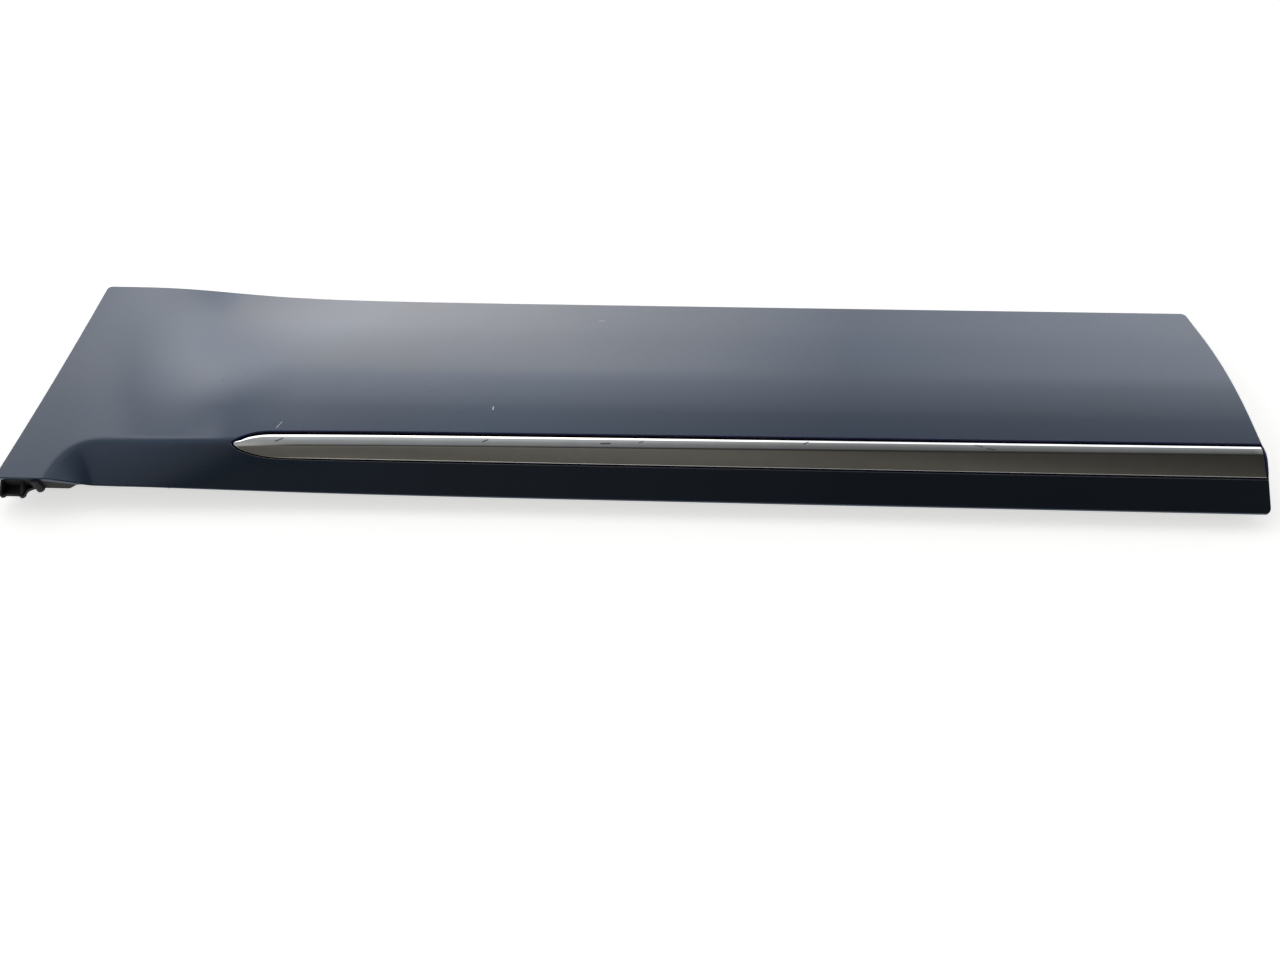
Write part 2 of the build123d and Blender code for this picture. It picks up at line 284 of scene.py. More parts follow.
class Shell:
    """Faces gathered into one mesh, each with the number of its material."""

    def __init__(self):
        self.points = []
        self.faces = []
        self.marks = []

    def add_grid(self, grid, mark, flip=False):
        """A grid of points (rows, columns, 3). Rows step to +y and columns to +x for a top face."""
        rows, columns = grid.shape[:2]
        first = len(self.points)
        self.points.extend(grid.reshape(-1, 3).tolist())
        for i in range(rows - 1):
            for j in range(columns - 1):
                a = first + i * columns + j
                face = [a, a + 1, a + 1 + columns, a + columns]
                self.faces.append(face[::-1] if flip else face)
                self.marks.append(mark)

    def add_polygons(self, polygons, marks):
        for polygon, mark in zip(polygons, marks):
            first = len(self.points)
            self.points.extend(polygon)
            self.faces.append(list(range(first, first + len(polygon))))
            self.marks.append(mark)

    def build(self, name, materials):
        mesh = bpy.data.meshes.new(name)
        points = np.clip(place_home(self.points), cad_low, cad_high)
        mesh.from_pydata(points.tolist(), [], self.faces)
        mesh.polygons.foreach_set("material_index", self.marks)
        work = bmesh.new()
        work.from_mesh(mesh)
        bmesh.ops.remove_doubles(work, verts=work.verts, dist=WELD_DISTANCE)
        bmesh.ops.dissolve_degenerate(work, edges=work.edges, dist=THIN_FACE)
        work.to_mesh(mesh)
        work.free()
        for material in materials:
            mesh.materials.append(material)
        mesh.polygons.foreach_set("use_smooth", [True] * len(mesh.polygons))
        mesh.set_sharp_from_angle(angle=SHARP_ANGLE)
        piece = bpy.data.objects.new(name, mesh)
        bpy.context.scene.collection.objects.link(piece)
        return piece


def cut_below(node, height, drop):
    """The node's faces, in millimetres, with everything nearer to the top surface than drop cut off."""
    mesh = node.data
    mesh.calc_loop_triangles()
    points = place_back([v.co for v in mesh.vertices])
    above = points[:, 2] - (height(points[:, 0], points[:, 1]) - drop)
    polygons = []
    for triangle in mesh.loop_triangles:
        corners = list(triangle.vertices)
        kept = []
        for here, there in zip(corners, corners[1:] + corners[:1]):
            if above[here] <= 0:
                kept.append(points[here].tolist())
            if (above[here] <= 0) != (above[there] <= 0):
                share = above[here] / (above[here] - above[there])
                kept.append((points[here] + share * (points[there] - points[here])).tolist())
        if len(kept) > 2:
            polygons.append(kept)
    return polygons


def outline_inset(x, y):
    """Distance in from the panel's rounded outline."""
    along = np.minimum(x - FRONT_LEAN * y / PANEL_WIDTH, PANEL_LENGTH - x)
    across = np.minimum(y, PANEL_WIDTH - y)
    corner = np.hypot(np.maximum(CORNER_RADIUS - along, 0), np.maximum(CORNER_RADIUS - across, 0))
    return CORNER_RADIUS - corner


def wall_marks(polygons):
    """Paint on the outer edge walls, bare plastic on everything else."""
    marks = []
    for polygon in polygons:
        points = np.array(polygon)
        insets = outline_inset(points[:, 0], points[:, 1])
        normal = np.cross(points[1] - points[0], points[2] - points[0])
        upright = abs(normal[2]) < UPRIGHT_SLOPE * np.linalg.norm(normal)
        on_edge = np.all(np.abs(insets) < EDGE_WALL_REACH) and upright
        marks.append(PAINT if on_edge else PLASTIC)
    return marks


def edge_rings(radius):
    """For a rounded edge: how far each ring is still inside the wall, and its drop."""
    for k in range(EDGE_STEPS + 1):
        angle = math.pi / 2 * k / EDGE_STEPS
        yield radius * (1 - math.sin(angle)), radius * (1 - math.cos(angle))


def spaced(start, end, count, gather=0.0):
    """Places from start to end, drawn together near the start."""
    t = np.linspace(0, 1, count + 1)
    return start + (end - start) * (t + gather * t ** 2) / (1 + gather)


# Places in the rounded ends of a side: -1 or 1 is on the outline, 0 where the corner starts
END_ZONE = np.array([1.0, 1 - SUPPORT_RING / (CORNER_RADIUS - PANEL_EDGE_RADIUS), 0.7, 0.4])
NOSE_PLACES = spaced(0, 1, NOSE_COUNT)
BRIDGE_SHARES = spaced(0, 1, REAR_BRIDGE_COUNT)[1:-1]


def nose_shape(side):
    """Length and power of the lower (-1) or upper (1) side of the lancet tip."""
    return (UPPER_NOSE_LENGTH, UPPER_NOSE_POWER) if side > 0 else (LOWER_NOSE_LENGTH, LOWER_NOSE_POWER)


def lancet_side(side, tip_grow, grow, line_places, rim=rim_line):
    """Lower (-1) or upper (1) outline of the strip or its recess, from the tip to the rear."""
    length, power = nose_shape(side)
    share = NOSE_PLACES ** 2
    nose_grow = tip_grow + (grow - tip_grow) * NOSE_PLACES
    nose_x = STRIP_TIP - nose_grow + (length + nose_grow) * share
    end = rim(STRIP_TIP + length) if side > 0 else STRIP_LOW_LINE
    height = side * (end - STRIP_TIP_LINE) + nose_grow
    nose_y = STRIP_TIP_LINE + side * height * (1 - (1 - share) ** 2) ** power
    line = rim(line_places) + grow if side > 0 else np.full(len(line_places), STRIP_LOW_LINE - grow)
    return np.concatenate([nose_x, line_places]), np.concatenate([nose_y, line])


def panel_band(side):
    """Logical columns and rows of the skin above (1) or below (-1) the strip's recess."""
    tip_grow = RECESS_GAP + RECESS_EDGE_RADIUS
    side_grow = tip_grow if side > 0 else tip_grow - LOWER_GAP_LESS
    length, _ = nose_shape(side)
    rear_end = PANEL_LENGTH - CORNER_RADIUS
    front = spaced(CORNER_RADIUS, STRIP_TIP - tip_grow, FRONT_COUNT)
    line = spaced(STRIP_TIP + length, rear_end, PANEL_LINE_COUNT)[1:]
    nose_x, nose_y = lancet_side(side, tip_grow, side_grow, line)
    middle = np.concatenate([front[:-1], nose_x])
    limit = np.concatenate([np.full(len(front) - 1, STRIP_TIP_LINE), nose_y])
    zones = len(END_ZONE)
    u_centre = np.concatenate([np.full(zones, CORNER_RADIUS), middle, np.full(zones, rear_end)])
    u_out = np.concatenate([-END_ZONE, np.zeros(len(middle)), END_ZONE[::-1]])
    reach = CORNER_RADIUS - PANEL_EDGE_RADIUS
    rear_x = rear_end + END_ZONE[::-1] * reach
    rear_limit = rim_line(rear_x) + side_grow if side > 0 else np.full(zones, STRIP_LOW_LINE - side_grow)
    limit = np.concatenate([np.full(zones, STRIP_TIP_LINE), limit, rear_limit])
    return u_centre, u_out, limit


def band_rows(side, limit):
    """Centre and outward place of each row, for every column, from low y to high y."""
    zones = len(END_ZONE)
    edge = PANEL_WIDTH - CORNER_RADIUS if side > 0 else CORNER_RADIUS
    count, gather = (UPPER_ROWS, UPPER_GATHER) if side > 0 else (LOWER_ROWS, LOWER_GATHER)
    share = spaced(0, 1, count, gather)[:, None]
    support = SUPPORT_RING / np.abs(edge - limit)
    rows = limit + (edge - limit) * share
    rows = np.insert(rows, 1, limit + (edge - limit) * support, axis=0)
    v_centre = np.vstack([rows, np.full((zones, len(limit)), edge)])
    v_out = np.vstack([np.zeros_like(rows), np.repeat(side * END_ZONE[::-1, None], len(limit), axis=1)])
    if side < 0:
        return v_centre[::-1], v_out[::-1]
    return v_centre, v_out


def panel_plan(u_centre, u_out, v_centre, v_out, inset):
    """Plan place of a logical point; points on the outline move in by inset."""
    reach = CORNER_RADIUS - inset
    u = u_centre + u_out * np.sqrt(1 - v_out ** 2 / 2) * reach
    v = v_centre + v_out * np.sqrt(1 - u_out ** 2 / 2) * reach
    lean = 1 - smooth_step(u, CORNER_RADIUS, LEAN_FADE)
    return u + FRONT_LEAN * v / PANEL_WIDTH * lean, v


def lifted(x, y, drop=0.0):
    """Points on the visible painted surface, or a drop below it."""
    return np.stack([x, y, panel_height(x, y) - drop], axis=-1)


def skirt_foot(x, y):
    """Foot of a wall: below the cut through the solid, and above its thin lip at the front."""
    lip = EDGE_LIP - LIP_THINNING * flare(x, LIP_THINNING_LENGTH)
    foot = np.where(y < LIP_REACH, lip, SKIN_CUT + SKIRT_OVERLAP)
    return np.stack([x, y, solid_height(x, y) - foot], axis=-1)


def make_painted_panel(materials):
    shell = Shell()
    low, high = (add_panel_side(shell, side) for side in (-1, 1))
    rear_low, rear_high = low[:, :, -1], high[:, :, -1]
    bridge = rear_low[:, -1:] + (rear_high[:, :1] - rear_low[:, -1:]) * BRIDGE_SHARES
    outline = np.concatenate(
        [
            low[:, 0, :],
            rear_low[:, 1:],
            bridge,
            rear_high,
            high[:, -1, ::-1][:, 1:],
            high[:, ::-1, 0][:, 1:],
            low[:, ::-1, 0][:, 1:],
        ],
        axis=1,
    )
    rings = [lifted(*panel_plan(*outline, inset), drop) for inset, drop in edge_rings(PANEL_EDGE_RADIUS)]
    rings.append(skirt_foot(*panel_plan(*outline, SKIRT_SET_BACK)))
    shell.add_grid(np.stack(rings), PAINT, flip=True)
    add_recess(shell)

    polygons = cut_below(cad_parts["moulding_panel"], solid_height, SKIN_CUT)
    shell.add_polygons(polygons, wall_marks(polygons))
    return shell.build("painted_panel", materials)


def add_panel_side(shell, side):
    """Adds the skin above (1) or below (-1) the recess, and returns its logical points."""
    u_centre, u_out, limit = panel_band(side)
    v_centre, v_out = band_rows(side, limit)
    u_centre = np.broadcast_to(u_centre, v_centre.shape)
    u_out = np.broadcast_to(u_out, v_centre.shape)
    logical = np.stack([u_centre, u_out, v_centre, v_out])
    shell.add_grid(lifted(*panel_plan(*logical, PANEL_EDGE_RADIUS)), PAINT)
    return logical


def add_recess(shell):
    """Adds the rounded edge of the recess, its wall and the ledge beside the strip: the lower edge has a
    light painted highlight, the upper edge and wall a dark navy painted shade.
    """
    edge = [
        lifted(*recess_ring(RECESS_GAP + inside), drop) for inside, drop in edge_rings(RECESS_EDGE_RADIUS)
    ]
    wall = [edge[-1], skirt_foot(*recess_ring(RECESS_GAP)), skirt_foot(*recess_ring(STRIP_GAP))]
    edge, wall = np.stack(edge), np.stack(wall)
    lower_count = len(NOSE_PLACES) + PANEL_LINE_COUNT + len(END_ZONE)
    lower, upper = slice(None, lower_count), slice(lower_count - 1, None)
    shell.add_grid(edge[:, lower], EDGE_HIGHLIGHT)
    shell.add_grid(wall[:, lower], PAINT)
    shell.add_grid(edge[:, upper], GAP_SHADE)
    shell.add_grid(wall[:, upper], GAP_SHADE)


def recess_ring(grow):
    """Outline of the recess, from the tip along the lower side, up the rear and back."""
    rear_end = PANEL_LENGTH - CORNER_RADIUS
    rear = PANEL_LENGTH - CHANNEL_END_WALL + grow - STRIP_GAP
    zone = rear_end + END_ZONE[::-1] * (CORNER_RADIUS - PANEL_EDGE_RADIUS)
    sides = []
    for side, side_grow in ((-1, grow - LOWER_GAP_LESS), (1, grow)):
        length, _ = nose_shape(side)
        line = spaced(STRIP_TIP + length, rear_end, PANEL_LINE_COUNT)[1:]
        line = np.minimum(np.concatenate([line, zone]), rear)
        sides.append(lancet_side(side, grow, side_grow, line))
    (low_x, low_y), (high_x, high_y) = sides
    bridge_x = np.full(len(BRIDGE_SHARES), rear)
    bridge_y = low_y[-1] + (high_y[-1] - low_y[-1]) * BRIDGE_SHARES
    x = np.concatenate([low_x, bridge_x, high_x[::-1]])
    y = np.concatenate([low_y, bridge_y, high_y[::-1]])
    return x, y


def strip_sides(inset):
    """Lower and upper outline of the strip, moved in by inset."""
    rear = PANEL_LENGTH - CHANNEL_END_WALL - STRIP_END_GAP - inset
    for side in (-1, 1):
        length, _ = nose_shape(side)
        line = spaced(STRIP_TIP + length, rear, STRIP_LINE_COUNT)[1:]
        yield lancet_side(side, -inset, -inset, line, looks_rim)


def between(start, end, share):
    return start + (end - start) * share


def strip_rows():
    """Plan of the strip's top, row by row up the door, and how far each point is past the shoulder."""
    low, high = (np.stack(line) for line in strip_sides(STRIP_EDGE_RADIUS))
    crease_x = (low[0] + high[0]) / 2
    into_nose = np.exp(-(crease_x - crease_x[0]) / TIP_FADE)
    crease_y = between(looks_crease(crease_x), STRIP_TIP_LINE, into_nose)
    crease = np.stack([crease_x, crease_y])
    lower_run = np.hypot(*(crease - low))
    upper_run = np.hypot(*(high - crease))
    shoulder = np.minimum(STRIP_BEVEL_WIDTH, SHOULDER_SHARE * upper_run)
    lower_run, upper_run = np.maximum(lower_run, THIN_RUN), np.maximum(upper_run, THIN_RUN)
    shoulder_start = 1 - shoulder / upper_run
    farthest = CREASE_DISTANCES[0]

    lower_shares = list(LOWER_FACET_SHARES)
    for distance in CREASE_DISTANCES:
        lower_shares.append(1 - np.minimum(distance / lower_run, LOWER_CREASE_ZONE * distance / farthest))
    upper_shares = [0]
    for distance in CREASE_DISTANCES[::-1]:
        upper_shares.append(np.minimum(distance / upper_run, UPPER_CREASE_ZONE * distance / farthest))
    upper_shares += [shoulder_start * share for share in UPPER_FACET_SHARES]

    rows = [between(low, crease, share) for share in lower_shares]
    rows += [between(crease, high, share) for share in upper_shares]
    past = [np.zeros(len(crease_x))] * len(rows)
    for part in SHOULDER_SHARES:
        rows.append(between(crease, high, between(shoulder_start, 1, part)))
        past.append(shoulder * part)
    x, y = np.stack(rows, axis=1)
    return x, y, np.stack(past)


def make_bright_strip(materials):
    shell = Shell()
    x, y, past = strip_rows()
    shell.add_grid(np.stack([x, y, strip_height(x, y, past)], axis=-1), PLATING)

    rear_share = ((y[:, -1] - y[0, -1]) / (y[-1, -1] - y[0, -1]))[1:-1]
    ring_past = np.concatenate([np.zeros(x.shape[1]), past[1:-1, -1], past[-1, ::-1]])
    levels = [*edge_rings(STRIP_EDGE_RADIUS), (SKIRT_SET_BACK, STRIP_CUT + STRIP_SKIRT_OVERLAP)]
    rings = []
    for inset, drop in levels:
        low, high = (np.stack(line) for line in strip_sides(inset))
        rear = between(low[:, -1:], high[:, -1:], rear_share)
        ring_x, ring_y = np.concatenate([low, rear, high[:, ::-1]], axis=1)
        height = strip_height(ring_x, ring_y, ring_past) - drop
        rings.append(np.stack([ring_x, ring_y, height], axis=-1))
    shell.add_grid(np.stack(rings), PLATING, flip=True)

    polygons = cut_below(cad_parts["chrome_strip"], strip_solid_height, STRIP_CUT)
    # The strip's back and sides carry the dark navy painted shade of the gap
    shell.add_polygons(polygons, [STRIP_BACK] * len(polygons))
    return shell.build("bright_strip", materials)


# Materials


def new_material(name):
    """A new material, its node tree, its shader and the place on the object in metres."""
    material = bpy.data.materials.new(name)
    material.use_nodes = True
    nodes = material.node_tree.nodes
    shader = nodes["Principled BSDF"]
    place = nodes.new("ShaderNodeTexCoord").outputs["Object"]
    return material, material.node_tree, shader, place


def noise(tree, place, scale, detail):
    node = tree.nodes.new("ShaderNodeTexNoise")
    node.inputs["Scale"].default_value = scale
    node.inputs["Detail"].default_value = detail
    tree.links.new(place, node.inputs["Vector"])
    return node.outputs["Fac"]


def spread(tree, value, low, high, to_low, to_high, run="LINEAR"):
    """Maps value from one range to another, held at both ends."""
    node = tree.nodes.new("ShaderNodeMapRange")
    node.interpolation_type = run
    for name, number in zip(("From Min", "From Max", "To Min", "To Max"), (low, high, to_low, to_high)):
        node.inputs[name].default_value = number
    tree.links.new(value, node.inputs["Value"])
    return node.outputs["Result"]


def maths(tree, operation, *values):
    node = tree.nodes.new("ShaderNodeMath")
    node.operation = operation
    for socket, value in zip(node.inputs, values):
        if isinstance(value, (int, float)):
            socket.default_value = value
        else:
            tree.links.new(value, socket)
    return node.outputs["Value"]


def mixed(tree, share, first, second, blend="MIX"):
    """First and second, which are colours or sockets, put together by the share of the second."""
    node = tree.nodes.new("ShaderNodeMix")
    node.data_type = "RGBA"
    node.blend_type = blend
    factor, first_socket, second_socket = node.inputs[0], node.inputs[6], node.inputs[7]
    if isinstance(share, float):
        factor.default_value = share
    else:
        tree.links.new(share, factor)
    for socket, value in ((first_socket, first), (second_socket, second)):
        if isinstance(value, tuple):
            socket.default_value = (*value, 1)
        else:
            tree.links.new(value, socket)
    return node.outputs[2]


def bump(tree, height, distance):
    node = tree.nodes.new("ShaderNodeBump")
    node.inputs["Distance"].default_value = distance
    tree.links.new(height, node.inputs["Height"])
    return node.outputs["Normal"]


def segment_mask(tree, place, start, end, half_width):
    """1 along a short line from start to end (in plan, millimetres from the panel's corner), else 0."""
    (x0, y0, _), (x1, y1, _) = (place_home((x, y, 0)) for x, y in (start, end))
    length = math.hypot(x1 - x0, y1 - y0)
    along = ((x1 - x0) / length, (y1 - y0) / length)
    parts = tree.nodes.new("ShaderNodeSeparateXYZ")
    tree.links.new(place, parts.inputs["Vector"])
    x = maths(tree, "SUBTRACT", parts.outputs["X"], (x0 + x1) / 2)
    y = maths(tree, "SUBTRACT", parts.outputs["Y"], (y0 + y1) / 2)
    run = maths(tree, "MULTIPLY_ADD", y, along[1], maths(tree, "MULTIPLY", x, along[0]))
    off = maths(tree, "MULTIPLY_ADD", y, along[0], maths(tree, "MULTIPLY", x, -along[1]))
    past = maths(tree, "MAXIMUM", maths(tree, "SUBTRACT", maths(tree, "ABSOLUTE", run), length / 2), 0.0)
    squares = maths(tree, "MULTIPLY_ADD", past, past, maths(tree, "MULTIPLY", off, off))
    distance = maths(tree, "SQRT", squares)
    width = half_width / 1000
    return spread(tree, distance, MARK_FULL * width, MARK_END * width, 1.0, 0.0)


def marked(tree, place, colour, marks):
    """The colour with each mark laid over it, as (start, end, half width, mark's colour, share)."""
    for start, end, half_width, tone, share in marks:
        mask = maths(tree, "MULTIPLY", segment_mask(tree, place, start, end, half_width), share)
        colour = mixed(tree, mask, colour, tone)
    return colour


# Noise scales, in cells to a metre, and heights of the bumps in metres
FLAKE_SCALE, FLAKE_HEIGHT = 2600, 0.00001
CLOUD_SCALE = 9
PEEL_SCALE, PEEL_HEIGHT = 300, 0.00002
HAZE_SCALE = 60
WAVE_SCALE, WAVE_HEIGHT = 45, 0.00001
MOTTLE_SCALE = 40
GRAIN_HEIGHT = 0.00006
DUST_SHARE = 0.1
ROUGHNESS_RANGE = 0.12

# A mark is full up to the first share of its half width, and fades out at the second
MARK_FULL, MARK_END = 0.6, 1.2

# Small scratches, nicks and dark specks on the paint where the photo shows them
SCUFF, NICK, DARK = (0.75, 0.76, 0.78), (0.9, 0.9, 0.92), (0.004, 0.006, 0.010)
PAINT_MARKS = (
    ((250.2, 58.2), (253.6, 65.2), 0.3, SCUFF, 0.5),
    ((450.6, 83.9), (450.6, 87.4), 0.5, NICK, 0.5),
    ((541.2, 222.8), (547.4, 222.9), 0.35, SCUFF, 0.2),
    ((385.1, 105.7), (390.6, 107.2), 0.4, DARK, 0.5),
    ((178.0, 121.6), (181.1, 118.1), 0.5, DARK, 0.7),
    ((314.7, 150.7), (317.7, 150.7), 0.5, DARK, 0.6),
    ((726.3, 247.9), (727.2, 245.9), 0.5, DARK, 0.6),
    ((913.4, 175.6), (914.0, 174.0), 0.5, DARK, 0.6),
    ((1027.4, 240.7), (1027.9, 238.8), 0.5, DARK, 0.6),
)
# Dark bluish spots laid over the chrome's colour where the photo shows them
CHROME_MARKS = (
    ((252.9, 42.9), (259.1, 46.0), 0.75, (0.10, 0.11, 0.16), 0.85),
    ((446.1, 45.6), (450.4, 47.8), 0.75, (0.08, 0.10, 0.20), 0.85),
    ((555.0, 46.0), (563.0, 46.3), 0.9, (0.10, 0.13, 0.20), 0.85),
    ((590.0, 48.0), (593.3, 49.0), 0.6, (0.08, 0.10, 0.20), 0.8),
    ((740.0, 50.0), (744.0, 52.5), 0.7, (0.10, 0.11, 0.16), 0.8),
    ((894.0, 52.5), (901.0, 50.5), 0.6, (0.12, 0.13, 0.18), 0.7),
    ((905.0, 48.8), (912.0, 47.8), 0.6, (0.12, 0.13, 0.18), 0.7),
)


def paint_material():
    material, tree, shader, place = new_material("dark_blue_grey_paint")
    shader.inputs["Metallic"].default_value = 1.0
    shader.inputs["Coat Weight"].default_value = 1.0
    shader.inputs["Coat Roughness"].default_value = 0.06
    flake = spread(tree, noise(tree, place, FLAKE_SCALE, 1.0), 0.35, 0.65, 0.0, 1.0)
    cloud = spread(tree, noise(tree, place, CLOUD_SCALE, 3.0), 0.3, 0.7, 0.0, 1.0)
    base = mixed(tree, flake, (0.015, 0.029, 0.055), (0.025, 0.047, 0.089))
    dusty = mixed(tree, maths(tree, "MULTIPLY", cloud, DUST_SHARE), base, (0.035, 0.042, 0.052))
    tree.links.new(marked(tree, place, dusty, PAINT_MARKS), shader.inputs["Base Color"])
    tree.links.new(spread(tree, cloud, 0, 1, 0.42, 0.48), shader.inputs["Roughness"])
    peel = noise(tree, place, PEEL_SCALE, 2.0)
    tree.links.new(bump(tree, peel, PEEL_HEIGHT), shader.inputs["Coat Normal"])
    tree.links.new(bump(tree, flake, FLAKE_HEIGHT), shader.inputs["Normal"])
    return material


def chrome_material():
    material, tree, shader, place = new_material("bright_chrome")
    shader.inputs["Metallic"].default_value = 1.0
    haze = noise(tree, place, HAZE_SCALE, 4.0)
    tone = mixed(tree, spread(tree, haze, 0.3, 0.7, 0, 1), (0.80, 0.81, 0.80), (0.87, 0.87, 0.86))
    tree.links.new(marked(tree, place, tone, CHROME_MARKS), shader.inputs["Base Color"])
    tree.links.new(spread(tree, haze, 0.3, 0.7, 0.03, 0.08), shader.inputs["Roughness"])
    wave = noise(tree, place, WAVE_SCALE, 1.0)
    tree.links.new(bump(tree, wave, WAVE_HEIGHT), shader.inputs["Normal"])
    return material


def plastic_material(name, dark, light, roughness, grain):
    """Moulded plastic with a fine grain."""
    material, tree, shader, place = new_material(name)
    mottle = spread(tree, noise(tree, place, MOTTLE_SCALE, 4.0), 0.3, 0.7, 0, 1)
    tree.links.new(mixed(tree, mottle, dark, light), shader.inputs["Base Color"])
    rough = spread(tree, mottle, 0, 1, roughness, roughness + ROUGHNESS_RANGE)
    tree.links.new(rough, shader.inputs["Roughness"])
    tree.links.new(bump(tree, noise(tree, place, grain, 3.0), GRAIN_HEIGHT), shader.inputs["Normal"])
    return material


paint = paint_material()
chrome = chrome_material()
black_plastic = plastic_material("black_plastic", (0.003, 0.0035, 0.006), (0.006, 0.007, 0.011), 0.62, 900)
clip_plastic = plastic_material("clip_plastic", (0.62, 0.60, 0.54), (0.72, 0.70, 0.65), 0.42, 500)
# Dark navy painted shade for the recess's upper edge and wall and for the strip's back, in place of the
# shaded gap around the strip
gap_shade_paint = plastic_material("navy_gap_painted_shade", (0.012, 0.015, 0.085), (0.016, 0.020, 0.105), 0.40, 700)
# A light painted highlight along the recess's lower rounded edge, as a fine bright line
edge_highlight_paint = plastic_material("painted_edge_highlight", (0.050, 0.055, 0.065), (0.065, 0.070, 0.080), 0.40, 700)

panel = make_painted_panel([paint, black_plastic, gap_shade_paint, edge_highlight_paint])
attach(panel, "root")
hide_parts("moulding_panel")

strip = make_bright_strip([chrome, gap_shade_paint])
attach(strip, "root")
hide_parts("chrome_strip")

for name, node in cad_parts.items():
    if name.startswith("retaining_clip"):
        node.data.materials.clear()
        node.data.materials.append(clip_plastic)

# Floor, light and camera

FLOOR_HALF = 6.0
FLOOR_DROP = 0.0003
GLOW_PLACE = (-0.86, 0.57, 0.5)
GLOW_RADIUS = 0.23
GLOW_STRENGTH = 1.8
GLOW_CORNERS = 24
WHITE = (1.0, 1.0, 1.0)

# Light on the upper part and on the lower part by height, in degrees up from +Y, past the
# zenith to -Y, and the heights between which the upper part gives way to the lower
HALF_TURN = 180
UPPER_HEIGHTS = (
    (0, 0.78), (17, 0.78), (20, 0.79), (24, 0.84), (27, 0.90), (30, 0.95), (33, 1.0), (180, 1.0),
)
LOWER_HEIGHTS = (
    (0, 1.06), (36, 1.06), (39, 1.0), (42, 0.92), (44.5, 0.85), (47, 0.75), (48.6, 0.66), (49.3, 0.57),
    (49.8, 0.49), (50.3, 0.43), (53, 0.38), (57, 0.27), (60, 0.225), (62, 0.19), (64, 0.13), (66, 0.10),
    (71, 0.04), (90, 0.015), (97, 0.025), (102, 0.038), (106, 0.056), (110, 0.058), (114, 0.05),
    (120, 0.038), (135, 0.06), (163, 0.12), (168, 0.5), (180, 0.55),
)
LOWER_TOP = 1.06
PARTING = (34.5, 38.5)

# Tints of the lower part's light, and the heights they start at
COOL, COOL_FROM = (0.97, 1.0, 1.03), 60
WARM, WARM_FROM = (1.04, 0.99, 0.86), 90

# Light by side, from -X to +X, with a warm stretch in the middle of the upper part
UPPER_SIDES = (
    (-1.0, (1.5, 1.5, 1.6)), (-0.5, (1.7, 1.7, 1.8)), (-0.42, (2.75, 2.7, 2.67)),
    (-0.35, (3.1, 2.93, 2.7)), (-0.25, (3.05, 2.85, 2.62)), (-0.12, (3.0, 2.83, 2.65)),
    (0.03, (2.34, 2.27, 2.2)), (0.18, (1.39, 1.42, 1.46)), (0.31, (1.71, 1.76, 1.83)),
    (0.44, (1.81, 1.85, 1.92)), (1.0, (2.0, 2.0, 2.0)),
)
LOWER_SIDES = (
    (-1.0, 1.3), (-0.56, 1.3), (-0.48, 1.45), (-0.39, 2.45), (-0.25, 2.4), (-0.12, 2.2), (0.03, 1.82),
    (0.18, 1.32), (0.31, 1.4), (0.41, 1.42), (1.0, 1.5),
)
SIDE_TOP = 3.1

# White light added at the front end: the sides where it starts and is full, its level, and
# the heights where it starts, is full, is full for the last time and has gone. The first one
# is full from the ground up, and the last one has no limits in height.
UPPER_GLOW_SIDES, UPPER_GLOW_LEVEL, UPPER_GLOW_HEIGHTS = (-0.08, -0.39), 1.2, (17, 33)
CREASE_GLOW_SIDES, CREASE_GLOW_LEVEL, CREASE_GLOW_HEIGHTS = (-0.49, -0.52), 1.0, (47.2, 48.7, 50, 56)
FACE_GLOW_SIDES, FACE_GLOW_LEVEL, FACE_GLOW_HEIGHTS = (-0.4, -0.47), 0.3, (62, 68, 90, 105)
WINDOW_SIDES, WINDOW_LEVEL = (-0.64, -0.85), 0.8

# The camera's directions and place come from the calibration of the photo
LENS, SENSOR_WIDTH = 27.0, 36.0
CAMERA_RIGHT = (0.9992151, 0.03689356, -0.01442369)
CAMERA_DOWN = (0.0209235, -0.80073318, -0.59865565)
CAMERA_AHEAD = (-0.03363607, 0.59788397, -0.80087663)
CAMERA_PLACE = (0.04486, -0.62760, 0.71665)


def stage_face(name, corners, place, material):
    """One flat face that belongs to the studio and not to the part."""
    mesh = bpy.data.meshes.new(name)
    mesh.from_pydata(corners, [], [tuple(range(len(corners)))])
    mesh.materials.append(material)
    face = bpy.data.objects.new(name, mesh)
    face.location = place
    bpy.context.scene.collection.objects.link(face)


def floor_material():
    material, _, shader, _ = new_material("white_floor")
    shader.inputs["Base Color"].default_value = (0.9, 0.9, 0.9, 1)
    shader.inputs["Roughness"].default_value = 0.9
    shader.inputs["Emission Color"].default_value = (*WHITE, 1)
    shader.inputs["Emission Strength"].default_value = 0.6
    return material


def glow_material():
    """A see-through face that gives light, most in its middle."""
    material, tree, shader, place = new_material("soft_glow")
    length = tree.nodes.new("ShaderNodeVectorMath")
    length.operation = "LENGTH"
    tree.links.new(place, length.inputs[0])
    strength = spread(tree, length.outputs["Value"], 0.0, GLOW_RADIUS, GLOW_STRENGTH, 0.0, "SMOOTHSTEP")
    emission = tree.nodes.new("ShaderNodeEmission")
    tree.links.new(strength, emission.inputs["Strength"])
    clear = tree.nodes.new("ShaderNodeBsdfTransparent")
    both = tree.nodes.new("ShaderNodeAddShader")
    tree.links.new(emission.outputs["Emission"], both.inputs[0])
    tree.links.new(clear.outputs["BSDF"], both.inputs[1])
    tree.links.new(both.outputs["Shader"], tree.nodes["Material Output"].inputs["Surface"])
    tree.nodes.remove(shader)
    return material


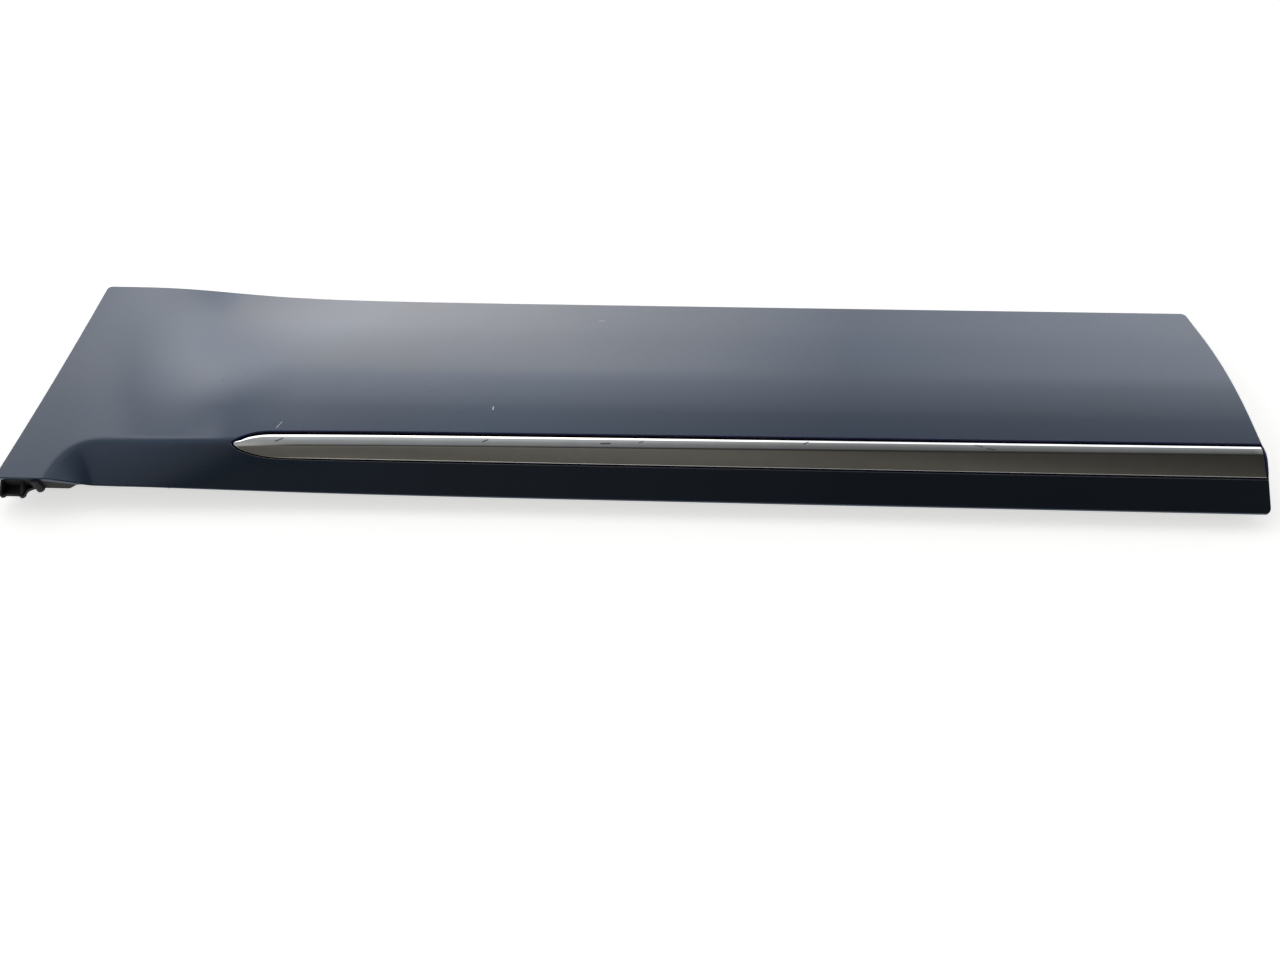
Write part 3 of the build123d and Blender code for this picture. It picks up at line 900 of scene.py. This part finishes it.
def ramp_node(tree, value, stops, top):
    """A run of colours over a value, as (place from 0 to 1, colour) pairs with levels up to top."""
    node = tree.nodes.new("ShaderNodeValToRGB")
    elements = node.color_ramp.elements
    while len(elements) < len(stops):
        elements.new(0.5)
    for element, (place, colour) in zip(elements, stops):
        element.position = place
        element.color = (*(level / top for level in colour), 1)
    tree.links.new(value, node.inputs["Fac"])
    return node.outputs["Color"]


def grey(level):
    return (level, level, level)


def lower_tone(degrees, level):
    """Grey light ahead, a little cool below it and warm from overhead back."""
    tint = WARM if degrees >= WARM_FROM else COOL if degrees >= COOL_FROM else grey(1.0)
    return tuple(level * part for part in tint)


def stretch(tree, turn, heights):
    """1 between the two middle heights, down to 0 at the outer ones."""
    start, full, last, end = (degrees / HALF_TURN for degrees in heights)
    rise = spread(tree, turn, start, full, 0.0, 1.0)
    return maths(tree, "MULTIPLY", rise, spread(tree, turn, last, end, 1.0, 0.0))


def lit(tree, sky, x, sides, level, height=None):
    """The sky with white light added from one side on, at all heights or only some."""
    start, full = sides
    share = spread(tree, x, start, full, 0.0, level / SIDE_TOP)
    if height is not None:
        share = maths(tree, "MULTIPLY", share, height)
    return mixed(tree, share, sky, WHITE, "ADD")


def part_light(tree, heights, sides, top):
    """Light of the upper or the lower part: its run by height times its run by side."""
    (turn, height_stops), (side, side_stops) = heights, sides
    by_height = ramp_node(tree, turn, [(degrees / HALF_TURN, tone) for degrees, tone in height_stops], 1.0)
    by_side = ramp_node(tree, side, [((x + 1) / 2, tone) for x, tone in side_stops], top)
    return mixed(tree, 1.0, by_height, by_side, "MULTIPLY")


def make_world():
    """Light that changes with height and side, as the paint and the strip reflect it."""
    world = bpy.data.worlds.new("studio")
    bpy.context.scene.world = world
    world.use_nodes = True
    tree = world.node_tree
    tree.nodes.clear()
    output = tree.nodes.new("ShaderNodeOutputWorld")
    light = tree.nodes.new("ShaderNodeBackground")
    direction = tree.nodes.new("ShaderNodeTexCoord").outputs["Generated"]
    parts = tree.nodes.new("ShaderNodeSeparateXYZ")
    tree.links.new(direction, parts.inputs["Vector"])
    x, y, z = (parts.outputs[axis] for axis in "XYZ")
    turn = maths(tree, "DIVIDE", maths(tree, "ARCTAN2", z, y), math.pi)
    side = maths(tree, "MULTIPLY_ADD", x, 0.5, 0.5)

    heights = [(degrees, grey(level)) for degrees, level in UPPER_HEIGHTS]
    upper = part_light(tree, (turn, heights), (side, UPPER_SIDES), SIDE_TOP)
    last, end = (degrees / HALF_TURN for degrees in UPPER_GLOW_HEIGHTS)
    low_down = spread(tree, turn, last, end, 1.0, 0.0)
    upper = lit(tree, upper, x, UPPER_GLOW_SIDES, UPPER_GLOW_LEVEL, low_down)

    heights = [(degrees, lower_tone(degrees, level / LOWER_TOP)) for degrees, level in LOWER_HEIGHTS]
    sides = [(x_place, grey(level)) for x_place, level in LOWER_SIDES]
    lower = part_light(tree, (turn, heights), (side, sides), SIDE_TOP / LOWER_TOP)

    start, end = (degrees / HALF_TURN for degrees in PARTING)
    sky = mixed(tree, spread(tree, turn, start, end, 0.0, 1.0), upper, lower)
    crease_glow = stretch(tree, turn, CREASE_GLOW_HEIGHTS)
    sky = lit(tree, sky, x, CREASE_GLOW_SIDES, CREASE_GLOW_LEVEL, crease_glow)
    face_glow = stretch(tree, turn, FACE_GLOW_HEIGHTS)
    sky = lit(tree, sky, x, FACE_GLOW_SIDES, FACE_GLOW_LEVEL, face_glow)
    sky = lit(tree, sky, x, WINDOW_SIDES, WINDOW_LEVEL)
    tree.links.new(sky, light.inputs["Color"])
    light.inputs["Strength"].default_value = SIDE_TOP
    tree.links.new(light.outputs["Background"], output.inputs["Surface"])


def make_camera():
    data = bpy.data.cameras.new("camera")
    data.sensor_width = SENSOR_WIDTH
    data.lens = LENS
    camera = bpy.data.objects.new("camera", data)
    bpy.context.scene.collection.objects.link(camera)
    up = [-part for part in CAMERA_DOWN]
    back = [-part for part in CAMERA_AHEAD]
    rows = zip(CAMERA_RIGHT, up, back, CAMERA_PLACE)
    camera.matrix_world = Matrix((*rows, (0, 0, 0, 1)))
    bpy.context.scene.camera = camera


square = ((-1, -1), (1, -1), (1, 1), (-1, 1))
corners = [(FLOOR_HALF * x, FLOOR_HALF * y, 0) for x, y in square]
stage_face("floor", corners, (0, 0, -FLOOR_DROP), floor_material())

angles = [k * math.tau / GLOW_CORNERS for k in range(GLOW_CORNERS)]
corners = [(GLOW_RADIUS * math.cos(angle), GLOW_RADIUS * math.sin(angle), 0) for angle in angles]
stage_face("glow", corners, GLOW_PLACE, glow_material())

make_world()
make_camera()
bpy.context.scene.view_settings.view_transform = "Standard"
